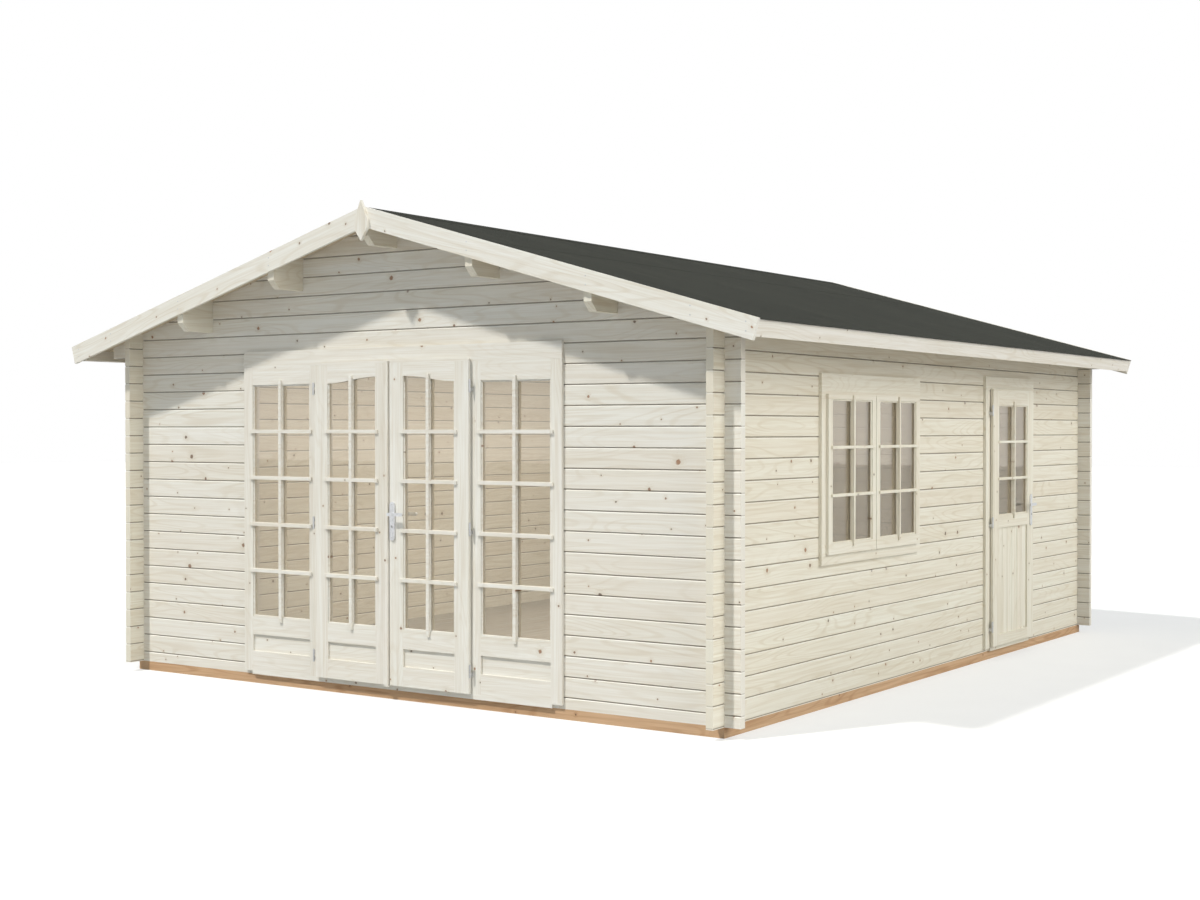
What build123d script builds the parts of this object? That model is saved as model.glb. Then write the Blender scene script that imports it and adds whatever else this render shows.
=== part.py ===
from build123d import *
from math import cos, radians, sin, tan
import os

# Garden log cabin of cross-lapped spruce logs, in millimetres.
# The origin is on the ground, under the middle of the whole. The front gable faces -Y, +Z is up.

os.makedirs("parts", exist_ok=True)

# Log walls: the gable walls start with half a log, so that the corners cross-lap
log_pitch = 114.0
log_thickness = 44.0
outer_width = 4490.0
outer_depth = 5500.0
gable_log_projection = 97.0
gable_top_log_projection = 251.0
side_log_projection = 111.0
side_wall_courses = 18
bottom_log_lip = 6.0
groove_height = 12.0
groove_depth = 6.0

# Foundation and floor
foundation_height = 58.0
foundation_beam_width = 90.0
joist_width = 58.0
joist_count = 5
beam_joint_gap = 0.5
floor_thickness = 28.0
floor_edge_gap = 0.5

# Roof
ridge_height = 2868.0
roof_pitch = 15.87
eave_overhang = 345.0
front_overhang = 265.0
back_overhang = 185.0
roof_board_thickness = 19.0
felt_thickness = 3.0
felt_drip = 9.0
barge_thickness = 20.0
barge_width = 114.0
barge_upstand = 3.0
eave_board_thickness = 19.0
eave_board_width = 88.0
ridge_joint_gap = 1.0
purlin_width = 50.0
purlin_depth = 192.0
purlin_offsets = (762.0, 1560.0)
purlin_end_chamfer = 50.0
purlin_slot_gap = 0.5

# Pointed board over the joint of the front bargeboards
finial_half_width = 50.0
finial_rise = 34.0
finial_shoulder_drop = 112.0
finial_side_length = 50.0
finial_length = 233.0
finial_thickness = 20.0

# Doors and window in general
casing_thickness = 20.0
casing_joint_gap = 0.5
leaf_thickness = 44.0
lip_thickness = 19.0
lip_overlap = 12.0
moving_gap = 5.0
swing_gap = 2.0
frame_thickness = 44.0
glass_thickness = 4.0
glass_setback = 14.0
glass_rebate = 7.0
glass_fit = 0.3
panel_setback = 12.0
panel_thickness = 18.0
threshold_top = 84.0

# Front door unit: a pair of leaves between two fixed side lights
unit_frame_side = 33.0
unit_casing_width = 68.0
unit_casing_top = 2073.0
casing_bottom = 79.0
leaf_half_opening = 597.0
leaf_meeting_gap = 6.0
leaf_meeting_inset = 2.0
post_width = 70.0
side_light_margin = 10.0
side_light_width = 490.0
leaf_bottom = 89.0
leaf_top = 1988.0
leaf_stile = 104.0
glass_bottom = 421.0
glass_top = 1864.0
arch_rise = 36.0
panel_bottom = 204.0
panel_top = 309.0
strip_width = 30.0
strip_thickness = 12.0
strip_bottom = 80.0

# Side door, its middle measured from the front wall's face
side_door_middle = 3957.5
side_leaf_width = 765.0
side_leaf_top = 1869.0
side_leaf_stile = 108.0
side_glass_bottom = 989.0
side_glass_top = 1759.0
side_boards_bottom = 164.0
side_boards_top = 905.0
side_board_count = 6
side_board_groove = 5.0
side_board_groove_depth = 3.0
side_frame_width = 40.0
side_casing_width = 88.0
side_casing_head = 96.0

# Window, its middle measured from the front wall's face
window_middle = 1722.0
sash_half_width = 625.0
sash_bottom = 875.0
sash_top = 1790.0
sash_stile = 50.0
sash_bottom_rail = 62.0
sash_top_rail = 30.0
sash_thickness = 38.0
sash_meeting_gap = 6.0
sash_side_overlap = 20.0
sash_body_gap = 2.0
window_frame_width = 30.0
window_casing_width = 70.0
window_casing_head = 130.0
window_sill_course = 7
opening_head_course = 16

# Hinges
hinge_radius = 6.0
hinge_half_length = 38.0
hinge_half_gap = 0.5
hinge_pin_radius = 3.5
hinge_pin_fit = 0.3
hinge_pin_length = 24.0
hinge_axis_side = 11.0
hinge_axis_proud = 1.0
hinge_lug = 6.0
hinge_lug_margin = 8.0
front_hinge_heights = (219.0, 1023.0, 1834.0)
side_hinge_heights = (227.0, 947.0, 1718.0)

# Lever handles, outside and inside, on one spindle
plate_width = 38.0
plate_height = 226.0
plate_thickness = 9.0
plate_fit = 0.5
lever_above_plate_middle = 41.0
lever_neck_radius = 9.0
lever_leaf_gap = 1.0
lever_reach = 46.0
lever_length = 122.0
lever_grip_height = 20.0
lever_grip_thickness = 11.0
spindle_radius = 5.0
spindle_fit = 2.0
front_lever_height = 1093.0
front_lever_inset = 26.0
side_lever_height = 1050.0
side_lever_inset = 50.0

# Places that follow from the sizes above
half_width = outer_width / 2
inner_half_width = half_width - log_thickness
roof_length = front_overhang + outer_depth + back_overhang
front_end = (finial_thickness - roof_length) / 2
back_end = front_end + roof_length
front_face = front_end + front_overhang
back_face = front_face + outer_depth
first_joint = foundation_height + bottom_log_lip
half_log = log_pitch / 2
tilt_cos = cos(radians(roof_pitch))
tilt_sin = sin(radians(roof_pitch))
slope = tan(radians(roof_pitch))
slope_length = (half_width + eave_overhang) / tilt_cos
felt_top = -barge_upstand
board_top = felt_top - felt_thickness
board_bottom = board_top - roof_board_thickness
boards_front = front_end + barge_thickness
boards_back = back_end - barge_thickness
side_log_start = front_face - side_log_projection
side_log_stop = back_face + side_log_projection
gable_log_end = half_width + gable_log_projection
gable_top_log_end = half_width + gable_top_log_projection
gable_base = first_joint + half_log + (side_wall_courses - 1) * log_pitch
opening_head = first_joint + opening_head_course * log_pitch
window_sill = first_joint + window_sill_course * log_pitch
leaf_face = -(casing_thickness + moving_gap + lip_thickness)
leaf_lip_back = leaf_face + lip_thickness
leaf_back = leaf_face + leaf_thickness
body_inset = lip_overlap + moving_gap + swing_gap
leaf_opening = leaf_half_opening - lip_overlap
post_outer = leaf_opening + post_width
light_inner = post_outer + side_light_margin
light_outer = light_inner + side_light_width
casing_inner = light_outer + glass_rebate
unit_half_width = casing_inner + unit_frame_side
unit_casing_half_width = casing_inner + unit_casing_width


def roof_z(across, offset):
    """Height at a distance from the ridge of a line that lies square to the slope by an offset."""
    return ridge_height + offset / tilt_cos - abs(across) * slope


def slope_point(along, offset):
    """Point of the right slope's section, from its distance down the slope and square to it."""
    return (along * tilt_cos + offset * tilt_sin, ridge_height - along * tilt_sin + offset * tilt_cos)


def front_plane(depth):
    """Upright plane behind the front wall's face by a depth. It looks outwards, along -Y."""
    return Plane.XZ.offset(-front_face - depth)


def side_plane(depth):
    """Upright plane behind the right wall's face by a depth. It looks outwards, along +X."""
    return Plane.YZ.offset(half_width - depth)


def block(plane_at, left, right, low, high, back, front, mode=Mode.ADD):
    """Rectangular piece between two depths behind a wall's face. A negative depth stands proud."""
    with BuildSketch(plane_at(back)) as outline:
        with Locations(((left + right) / 2, (low + high) / 2)):
            Rectangle(right - left, high - low)
    extrude(outline.sketch, amount=back - front, mode=mode)


def rod(plane_at, across, height, radius, back, front, mode=Mode.ADD):
    """Round bar square to a wall, between two depths."""
    with BuildSketch(plane_at(back)) as outline:
        with Locations((across, height)):
            Circle(radius)
    extrude(outline.sketch, amount=back - front, mode=mode)


def log_section(joints, low, high, near, far):
    """Outline of a stack of logs seen from its end, with a V groove on both faces at each joint."""
    half = groove_height / 2
    face = []
    for z in [low] + [joint for joint in joints if low < joint < high] + [high]:
        if z > low:
            face.append((0, z - half) if z in joints else (0, z))
        if z in joints:
            face.append((groove_depth, z))
        if z < high:
            face.append((0, z + half) if z in joints else (0, z))
    near_face = [(near + inset, z) for inset, z in face]
    far_face = [(far - inset, z) for inset, z in reversed(face)]
    return near_face + far_face


def side_log_wall(start, stop, low, high, near, far):
    """Stack of side wall logs along Y, notched where it meets the gable walls' logs."""
    with BuildPart() as wall:
        with BuildSketch(Plane.XZ.offset(-stop)):
            with BuildLine():
                Polyline(*log_section(side_joints, low, high, near, far), close=True)
            make_face()
        extrude(amount=stop - start)
        with BuildSketch(Plane.YZ.offset(near)):
            with Locations(*[(y, z) for y in (front_crossing, back_crossing) for z in gable_keeps]):
                Rectangle(log_thickness, half_log)
        extrude(amount=log_thickness, mode=Mode.SUBTRACT)
        with BuildSketch(Plane.XZ.offset(-stop)):
            with BuildLine():
                Polyline(*under_roof, close=True)
            make_face()
        extrude(amount=stop - start, mode=Mode.INTERSECT)
    return wall


def gable_wall(near):
    """Stack of gable wall logs along X up to the ridge, notched at the corners and for the purlins."""
    far = near + log_thickness
    with BuildPart() as wall:
        with BuildSketch(Plane.YZ.offset(-gable_top_log_end)):
            with BuildLine():
                Polyline(*log_section(gable_joints, gable_base, ridge_height, near, far), close=True)
            make_face()
        extrude(amount=2 * gable_top_log_end)
        with BuildSketch(Plane.XZ.offset(-far)):
            with BuildLine():
                Polyline(*under_roof, close=True)
            make_face()
        extrude(amount=log_thickness, mode=Mode.INTERSECT)
        with BuildSketch(Plane.XZ.offset(-far)):
            with Locations(*[(side * side_crossing, z) for side in (-1, 1) for z in side_keeps]):
                Rectangle(log_thickness, half_log)
            for side, outwards in ((-1, Align.MAX), (1, Align.MIN)):
                with Locations((side * inner_half_width, gable_base + log_pitch)):
                    Rectangle(roof_reach, ridge_height, align=(outwards, Align.MIN))
            slot_width = purlin_width + 2 * purlin_slot_gap
            for station in purlin_stations:
                with Locations((station, purlin_base(station))):
                    Rectangle(slot_width, 2 * purlin_depth, align=(Align.CENTER, Align.MIN))
        extrude(amount=log_thickness, mode=Mode.SUBTRACT)
    return wall


def low_gable_wall(start, stop, near):
    """Stack of gable wall logs along X below the gable, notched at the corners."""
    far = near + log_thickness
    with BuildPart() as wall:
        with BuildSketch(Plane.YZ.offset(start)):
            with BuildLine():
                Polyline(*log_section(gable_joints, foundation_height, gable_base, near, far), close=True)
            make_face()
        extrude(amount=stop - start)
        with BuildSketch(Plane.XZ.offset(-far)):
            with Locations(*[(side * side_crossing, z) for side in (-1, 1) for z in side_keeps]):
                Rectangle(log_thickness, half_log)
        extrude(amount=log_thickness, mode=Mode.SUBTRACT)
    return wall


def purlin_base(station):
    """Height of a purlin's underside."""
    return roof_z(station, board_bottom) - purlin_depth


gable_joints = [first_joint + half_log + i * log_pitch for i in range(side_wall_courses + 7)]
side_joints = [first_joint + (i + 1) * log_pitch for i in range(side_wall_courses)]
gable_keeps = [first_joint + i * log_pitch for i in range(side_wall_courses + 1)]
side_keeps = [first_joint + half_log + i * log_pitch for i in range(side_wall_courses + 1)]
side_crossing = half_width - log_thickness / 2
front_crossing = front_face + log_thickness / 2
back_crossing = back_face - log_thickness / 2
purlin_stations = [0.0] + [side * offset for offset in purlin_offsets for side in (-1, 1)]
roof_reach = half_width + eave_overhang
under_roof = [
    (-roof_reach, 0),
    (roof_reach, 0),
    (roof_reach, roof_z(roof_reach, board_bottom)),
    (0, roof_z(0, board_bottom)),
    (-roof_reach, roof_z(roof_reach, board_bottom)),
]

# Foundation: the long beams run through, the cross beams and the joists sit between them
long_beam_middle = half_width - foundation_beam_width / 2
wall_middle = front_face + outer_depth / 2
on_ground = (Align.CENTER, Align.CENTER, Align.MIN)
with BuildPart() as foundation_long_beams:
    with Locations((-long_beam_middle, wall_middle), (long_beam_middle, wall_middle)):
        Box(foundation_beam_width, outer_depth, foundation_height, align=on_ground)
foundation_long_beams.part.label = "foundation_long_beams"
export_step(foundation_long_beams.part, "parts/foundation_long_beams.step")

cross_beam_length = outer_width - 2 * foundation_beam_width - 2 * beam_joint_gap
end_beam_reach = (outer_depth - foundation_beam_width) / 2
joist_spacing = 2 * end_beam_reach / (joist_count + 1)
joist_places = [(0, wall_middle - end_beam_reach + (i + 1) * joist_spacing) for i in range(joist_count)]
with BuildPart() as foundation_cross_beams:
    with Locations((0, wall_middle - end_beam_reach), (0, wall_middle + end_beam_reach)):
        Box(cross_beam_length, foundation_beam_width, foundation_height, align=on_ground)
    with Locations(*joist_places):
        Box(cross_beam_length, joist_width, foundation_height, align=on_ground)
foundation_cross_beams.part.label = "foundation_cross_beams"
export_step(foundation_cross_beams.part, "parts/foundation_cross_beams.step")

# Floor of boards, laid on the foundation inside the walls
floor_margin = log_thickness + floor_edge_gap
with BuildPart() as floor:
    with BuildSketch(Plane.XY.offset(foundation_height)):
        with Locations((0, wall_middle)):
            Rectangle(outer_width - 2 * floor_margin, outer_depth - 2 * floor_margin)
    extrude(amount=floor_thickness)
floor.part.label = "floor"
export_step(floor.part, "parts/floor.step")

# Log walls
low_walls = {
    "front_wall_left": (-gable_log_end, -unit_half_width, front_face),
    "front_wall_right": (unit_half_width, gable_log_end, front_face),
    "back_wall": (-gable_log_end, gable_log_end, back_face - log_thickness),
}
for name, (start, stop, near) in low_walls.items():
    low_wall = low_gable_wall(start, stop, near)
    low_wall.part.label = name
    export_step(low_wall.part, f"parts/{name}.step")

for name, near in (("front_gable", front_face), ("back_gable", back_face - log_thickness)):
    gable = gable_wall(near)
    gable.part.label = name
    export_step(gable.part, f"parts/{name}.step")

left_wall = side_log_wall(
    side_log_start, side_log_stop, foundation_height, ridge_height, -half_width, -inner_half_width
)
left_wall.part.label = "left_wall"
export_step(left_wall.part, "parts/left_wall.step")

# Right wall, split beside and over the window and the side door
window_y = front_face + window_middle
side_door_y = front_face + side_door_middle
window_frame_half = sash_half_width - sash_side_overlap + window_frame_width
side_frame_half = side_leaf_width / 2 - lip_overlap + side_frame_width
right_wall_pieces = {
    "right_wall_front": (side_log_start, window_y - window_frame_half, foundation_height, opening_head),
    "right_wall_below_window": (
        window_y - window_frame_half,
        window_y + window_frame_half,
        foundation_height,
        window_sill,
    ),
    "right_wall_middle": (
        window_y + window_frame_half,
        side_door_y - side_frame_half,
        foundation_height,
        opening_head,
    ),
    "right_wall_back": (side_door_y + side_frame_half, side_log_stop, foundation_height, opening_head),
    "right_wall_top": (side_log_start, side_log_stop, opening_head, ridge_height),
}
for name, (start, stop, low, high) in right_wall_pieces.items():
    right_wall = side_log_wall(start, stop, low, high, inner_half_width, half_width)
    right_wall.part.label = name
    export_step(right_wall.part, f"parts/{name}.step")

# Purlins, bevelled to the slopes, with the lower corner of each end cut off at 45 degrees
purlin_length = boards_back - boards_front
with BuildPart() as purlins:
    for station in purlin_stations:
        with BuildSketch(Plane.XZ.offset(-boards_back)):
            with Locations((station, purlin_base(station))):
                Rectangle(purlin_width, 2 * purlin_depth, align=(Align.CENTER, Align.MIN))
        extrude(amount=purlin_length)
    with BuildSketch(Plane.XZ.offset(-boards_back)):
        with BuildLine():
            Polyline(*under_roof, close=True)
        make_face()
    extrude(amount=purlin_length, mode=Mode.INTERSECT)
    for station in purlin_stations:
        low = purlin_base(station)
        for end, inward in ((boards_front, 1), (boards_back, -1)):
            with BuildSketch(Plane.YZ.offset(station - purlin_width / 2)):
                with BuildLine():
                    foot = (end + inward * purlin_end_chamfer, low)
                    Polyline((end, low), foot, (end, low + purlin_end_chamfer), close=True)
                make_face()
            extrude(amount=purlin_width, mode=Mode.SUBTRACT)
purlins.part.label = "purlins"
export_step(purlins.part, "parts/purlins.step")


def slope_slab(side, start, stop, high, low, begin, end):
    """Slab along the building on one slope: plumb at the ridge, square to the slope at its lower end."""
    section = ((begin, high), (end, high), (end, low), (begin, low))
    corners = [slope_point(along, offset) for along, offset in section]
    if begin == 0:
        gap = ridge_joint_gap / 2
        corners[0] = (gap, roof_z(gap, high))
        corners[3] = (gap, roof_z(gap, low))
    with BuildSketch(Plane.XZ.offset(-stop)) as outline:
        with BuildLine():
            Polyline(*[(side * x, z) for x, z in corners], close=True)
        make_face()
    extrude(outline.sketch, amount=stop - start)


# Roof boards on the purlins, and felt over them
boards_end = slope_length - eave_board_thickness
for side, name in ((-1, "roof_boards_left"), (1, "roof_boards_right")):
    with BuildPart() as roof_boards:
        slope_slab(side, boards_front, boards_back, board_top, board_bottom, 0, boards_end)
    roof_boards.part.label = name
    export_step(roof_boards.part, f"parts/{name}.step")

with BuildPart() as roof_felt:
    for side in (-1, 1):
        slope_slab(side, boards_front, boards_back, felt_top, board_top, 0, slope_length + felt_drip)
roof_felt.part.label = "roof_felt"
export_step(roof_felt.part, "parts/roof_felt.step")

# Boards round the roof's edge
with BuildPart() as bargeboards:
    for start, stop in ((front_end, boards_front), (boards_back, back_end)):
        for side in (-1, 1):
            slope_slab(side, start, stop, 0, -barge_width, 0, slope_length)
bargeboards.part.label = "bargeboards"
export_step(bargeboards.part, "parts/bargeboards.step")

with BuildPart() as eave_boards:
    for side in (-1, 1):
        slope_slab(
            side, boards_front, boards_back, board_top, board_top - eave_board_width, boards_end, slope_length
        )
eave_boards.part.label = "eave_boards"
export_step(eave_boards.part, "parts/eave_boards.step")

finial_top = ridge_height + finial_rise
finial_shoulder = finial_top - finial_shoulder_drop
finial_outline = [
    (0, finial_top),
    (finial_half_width, finial_shoulder),
    (finial_half_width, finial_shoulder - finial_side_length),
    (0, finial_top - finial_length),
    (-finial_half_width, finial_shoulder - finial_side_length),
    (-finial_half_width, finial_shoulder),
]
with BuildPart() as finial:
    with BuildSketch(Plane.XZ.offset(-front_end)):
        with BuildLine():
            Polyline(*finial_outline, close=True)
        make_face()
    extrude(amount=finial_thickness)
finial.part.label = "finial"
export_step(finial.part, "parts/finial.step")


def glazing_groove(plane_at, left, right, low, high, front):
    """Groove that holds a pane round its edge."""
    near = front + glass_setback
    far = near + glass_thickness
    rim = glass_rebate
    block(plane_at, left - rim, right + rim, low - rim, high + rim, far, near, Mode.SUBTRACT)


def pane(plane_at, left, right, low, high, front):
    """Pane that fills its groove but for a small fit."""
    near = front + glass_setback
    far = near + glass_thickness
    rim = glass_rebate - glass_fit
    block(plane_at, left - rim, right + rim, low - rim, high + rim, far, near)


def sunk_panel(plane_at, left, right, low, high, back, front):
    """Sink a panel between its rails and stiles on both faces."""
    block(plane_at, left, right, low, high, front + panel_setback, front, Mode.SUBTRACT)
    block(plane_at, left, right, low, high, back, front + panel_setback + panel_thickness, Mode.SUBTRACT)


# Frame of the front door unit, with its posts, threshold and side lights
head_bottom = leaf_top - lip_overlap
unit_back = frame_thickness - casing_thickness
with BuildPart() as front_frame:
    block(
        front_plane, -unit_half_width, unit_half_width, foundation_height, gable_base, frame_thickness, 0
    )
    block(
        front_plane, -casing_inner, casing_inner, foundation_height, head_bottom, unit_back, -casing_thickness
    )
    block(
        front_plane,
        -casing_inner,
        casing_inner,
        threshold_top,
        head_bottom,
        frame_thickness,
        unit_back,
        Mode.SUBTRACT,
    )
    block(
        front_plane,
        -leaf_opening,
        leaf_opening,
        threshold_top,
        head_bottom,
        frame_thickness,
        -casing_thickness,
        Mode.SUBTRACT,
    )
    for left, right in ((-light_outer, -light_inner), (light_inner, light_outer)):
        block(
            front_plane, left, right, glass_bottom, glass_top, unit_back, -casing_thickness, Mode.SUBTRACT
        )
        glazing_groove(front_plane, left, right, glass_bottom, glass_top, -casing_thickness)
        sunk_panel(front_plane, left, right, panel_bottom, panel_top, unit_back, -casing_thickness)
front_frame.part.label = "front_frame"
export_step(front_frame.part, "parts/front_frame.step")

with BuildPart() as side_lights:
    for left, right in ((-light_outer, -light_inner), (light_inner, light_outer)):
        pane(front_plane, left, right, glass_bottom, glass_top, -casing_thickness)
side_lights.part.label = "side_lights"
export_step(side_lights.part, "parts/side_lights.step")

with BuildPart() as front_casing:
    block(
        front_plane,
        -unit_casing_half_width,
        unit_casing_half_width,
        head_bottom,
        unit_casing_top,
        0,
        -casing_thickness,
    )
    for left, right in ((-unit_casing_half_width, -casing_inner), (casing_inner, unit_casing_half_width)):
        block(
            front_plane, left, right, casing_bottom, head_bottom - casing_joint_gap, 0, -casing_thickness
        )
front_casing.part.label = "front_casing"
export_step(front_casing.part, "parts/front_casing.step")

# Front leaves: a sunk panel below the glass, and a top rail with an ogee lower edge
front_lever_across = leaf_meeting_gap / 2 + front_lever_inset


def front_leaf(side):
    """Leaf of the front pair. The right leaf, side 1, is bored for the handle's spindle."""
    meeting = leaf_meeting_gap / 2
    edge = leaf_half_opening
    with BuildPart() as leaf:
        lip = sorted((side * meeting, side * edge))
        body = sorted((side * (meeting + leaf_meeting_inset), side * (edge - body_inset + swing_gap)))
        field = sorted((side * (meeting + leaf_stile), side * (edge - leaf_stile)))
        block(front_plane, lip[0], lip[1], leaf_bottom, leaf_top, leaf_lip_back, leaf_face)
        body_top = leaf_top - lip_overlap - moving_gap
        block(front_plane, body[0], body[1], leaf_bottom, body_top, leaf_back, leaf_lip_back)
        with BuildSketch(front_plane(leaf_back)):
            with BuildLine():
                inner = side * (meeting + leaf_stile)
                outer = side * (edge - leaf_stile)
                arch_end = (inner, glass_top + arch_rise)
                Polyline(arch_end, (inner, glass_bottom), (outer, glass_bottom), (outer, glass_top))
                Spline((outer, glass_top), arch_end, tangents=((-side, 0), (-side, 0)))
            make_face()
        extrude(amount=leaf_thickness, mode=Mode.SUBTRACT)
        glazing_groove(front_plane, field[0], field[1], glass_bottom, glass_top + arch_rise, leaf_face)
        sunk_panel(front_plane, field[0], field[1], panel_bottom, panel_top, leaf_back, leaf_face)
        if side > 0:
            rod(
                front_plane,
                front_lever_across,
                front_lever_height,
                spindle_radius + spindle_fit,
                leaf_back,
                leaf_face,
                Mode.SUBTRACT,
            )
    with BuildPart() as glass:
        pane(front_plane, field[0], field[1], glass_bottom, glass_top + arch_rise, leaf_face)
    return leaf, glass


for side, name in ((-1, "left"), (1, "right")):
    front_door, front_glass = front_leaf(side)
    front_door.part.label = f"front_leaf_{name}"
    export_step(front_door.part, f"parts/front_leaf_{name}.step")
    front_glass.part.label = f"front_glass_{name}"
    export_step(front_glass.part, f"parts/front_glass_{name}.step")

with BuildPart() as meeting_strip:
    strip_right = -leaf_meeting_gap / 2
    block(
        front_plane,
        strip_right - strip_width,
        strip_right,
        strip_bottom,
        leaf_top,
        leaf_face,
        leaf_face - strip_thickness,
    )
meeting_strip.part.label = "meeting_strip"
export_step(meeting_strip.part, "parts/meeting_strip.step")

# Side door: frame, casing and a leaf with boards below its glass
side_opening_half = side_leaf_width / 2 - lip_overlap
side_head_bottom = side_leaf_top - lip_overlap
side_left = side_door_y - side_opening_half
side_right = side_door_y + side_opening_half
with BuildPart() as side_frame:
    block(
        side_plane,
        side_left - side_frame_width,
        side_right + side_frame_width,
        foundation_height,
        opening_head,
        frame_thickness,
        0,
    )
    block(side_plane, side_left, side_right, foundation_height, threshold_top, 0, -casing_thickness)
    block(
        side_plane, side_left, side_right, threshold_top, side_head_bottom, frame_thickness, 0, Mode.SUBTRACT
    )
side_frame.part.label = "side_frame"
export_step(side_frame.part, "parts/side_frame.step")

with BuildPart() as side_casing:
    block(
        side_plane,
        side_left - side_casing_width,
        side_right + side_casing_width,
        side_head_bottom,
        side_head_bottom + side_casing_head,
        0,
        -casing_thickness,
    )
    for left in (side_left - side_casing_width, side_right):
        right = left + side_casing_width
        block(
            side_plane, left, right, casing_bottom, side_head_bottom - casing_joint_gap, 0, -casing_thickness
        )
side_casing.part.label = "side_casing"
export_step(side_casing.part, "parts/side_casing.step")

side_leaf_left = side_door_y - side_leaf_width / 2
side_leaf_right = side_door_y + side_leaf_width / 2
side_inner_left = side_leaf_left + side_leaf_stile
side_inner_right = side_leaf_right - side_leaf_stile
side_lever_across = side_leaf_right - side_lever_inset
board_width = (side_inner_right - side_inner_left) / side_board_count
board_joints = [side_inner_left + (i + 1) * board_width for i in range(side_board_count - 1)]
board_face = leaf_face + panel_setback
board_back = board_face + panel_thickness
with BuildPart() as side_leaf:
    block(side_plane, side_leaf_left, side_leaf_right, leaf_bottom, side_leaf_top, leaf_lip_back, leaf_face)
    block(
        side_plane,
        side_leaf_left + body_inset,
        side_leaf_right - body_inset,
        leaf_bottom,
        side_leaf_top - body_inset + swing_gap,
        leaf_back,
        leaf_lip_back,
    )
    block(
        side_plane,
        side_inner_left,
        side_inner_right,
        side_glass_bottom,
        side_glass_top,
        leaf_back,
        leaf_face,
        Mode.SUBTRACT,
    )
    glazing_groove(
        side_plane, side_inner_left, side_inner_right, side_glass_bottom, side_glass_top, leaf_face
    )
    sunk_panel(
        side_plane,
        side_inner_left,
        side_inner_right,
        side_boards_bottom,
        side_boards_top,
        leaf_back,
        leaf_face,
    )
    for joint in board_joints:
        for back in (board_face + side_board_groove_depth, board_back):
            block(
                side_plane,
                joint - side_board_groove / 2,
                joint + side_board_groove / 2,
                side_boards_bottom,
                side_boards_top,
                back,
                back - side_board_groove_depth,
                Mode.SUBTRACT,
            )
    rod(
        side_plane,
        side_lever_across,
        side_lever_height,
        spindle_radius + spindle_fit,
        leaf_back,
        leaf_face,
        Mode.SUBTRACT,
    )
side_leaf.part.label = "side_leaf"
export_step(side_leaf.part, "parts/side_leaf.step")

with BuildPart() as side_glass:
    pane(side_plane, side_inner_left, side_inner_right, side_glass_bottom, side_glass_top, leaf_face)
side_glass.part.label = "side_glass"
export_step(side_glass.part, "parts/side_glass.step")

# Window: frame, casing and two sashes that meet in the middle
sash_face = -(casing_thickness + lip_thickness)
sash_back = sash_face + sash_thickness
window_half = sash_half_width - sash_side_overlap
window_low = sash_bottom + lip_overlap
window_high = sash_top - lip_overlap
with BuildPart() as window_frame:
    block(
        side_plane,
        window_y - window_frame_half,
        window_y + window_frame_half,
        window_sill,
        opening_head,
        frame_thickness,
        0,
    )
    block(
        side_plane,
        window_y - window_half,
        window_y + window_half,
        window_low,
        window_high,
        frame_thickness,
        0,
        Mode.SUBTRACT,
    )
window_frame.part.label = "window_frame"
export_step(window_frame.part, "parts/window_frame.step")

window_casing_reach = window_half + window_casing_width
with BuildPart() as window_casing:
    block(
        side_plane,
        window_y - window_casing_reach,
        window_y + window_casing_reach,
        window_high,
        window_high + window_casing_head,
        0,
        -casing_thickness,
    )
    block(
        side_plane,
        window_y - window_half + casing_joint_gap,
        window_y + window_half - casing_joint_gap,
        window_low - window_casing_width,
        window_low,
        0,
        -casing_thickness,
    )
    for middle in (window_half + window_casing_width / 2, -window_half - window_casing_width / 2):
        block(
            side_plane,
            window_y + middle - window_casing_width / 2,
            window_y + middle + window_casing_width / 2,
            window_low - window_casing_width,
            window_high - casing_joint_gap,
            0,
            -casing_thickness,
        )
window_casing.part.label = "window_casing"
export_step(window_casing.part, "parts/window_casing.step")

sash_glass_bottom = sash_bottom + sash_bottom_rail
sash_glass_top = sash_top - sash_top_rail
sash_edges = []
for side in (-1, 1):
    sash_edges.append(sorted((side * sash_meeting_gap / 2, side * sash_half_width)))
with BuildPart() as window_sashes:
    for left, right in sash_edges:
        left_inset = sash_side_overlap + sash_body_gap if left < -sash_meeting_gap else 0
        right_inset = sash_side_overlap + sash_body_gap if right > sash_meeting_gap else 0
        low_inset = lip_overlap + sash_body_gap
        lip = (window_y + left, window_y + right)
        glass = (lip[0] + sash_stile, lip[1] - sash_stile)
        block(side_plane, lip[0], lip[1], sash_bottom, sash_top, sash_face + lip_thickness, sash_face)
        block(
            side_plane,
            lip[0] + left_inset,
            lip[1] - right_inset,
            sash_bottom + low_inset,
            sash_top - low_inset,
            sash_back,
            sash_face + lip_thickness,
        )
        block(
            side_plane,
            glass[0],
            glass[1],
            sash_glass_bottom,
            sash_glass_top,
            sash_back,
            sash_face,
            Mode.SUBTRACT,
        )
        glazing_groove(side_plane, glass[0], glass[1], sash_glass_bottom, sash_glass_top, sash_face)
window_sashes.part.label = "window_sashes"
export_step(window_sashes.part, "parts/window_sashes.step")

with BuildPart() as window_glass:
    for left, right in sash_edges:
        glass = (window_y + left + sash_stile, window_y + right - sash_stile)
        pane(side_plane, glass[0], glass[1], sash_glass_bottom, sash_glass_top, sash_face)
window_glass.part.label = "window_glass"
export_step(window_glass.part, "parts/window_glass.step")

# Barrel hinges: the lower knuckle and its pin stay on the frame, the upper one turns with the leaf
hinge_depth = leaf_face - hinge_axis_proud
hinge_lug_low = hinge_half_gap + hinge_lug_margin
hinge_lug_high = hinge_half_length - hinge_lug_margin


def hinge_place(plane_at, across):
    """Where a hinge's axis crosses the ground plane."""
    corner = plane_at(hinge_depth).from_local_coords(Vector(across, 0, 0))
    return (corner.X, corner.Y)


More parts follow.
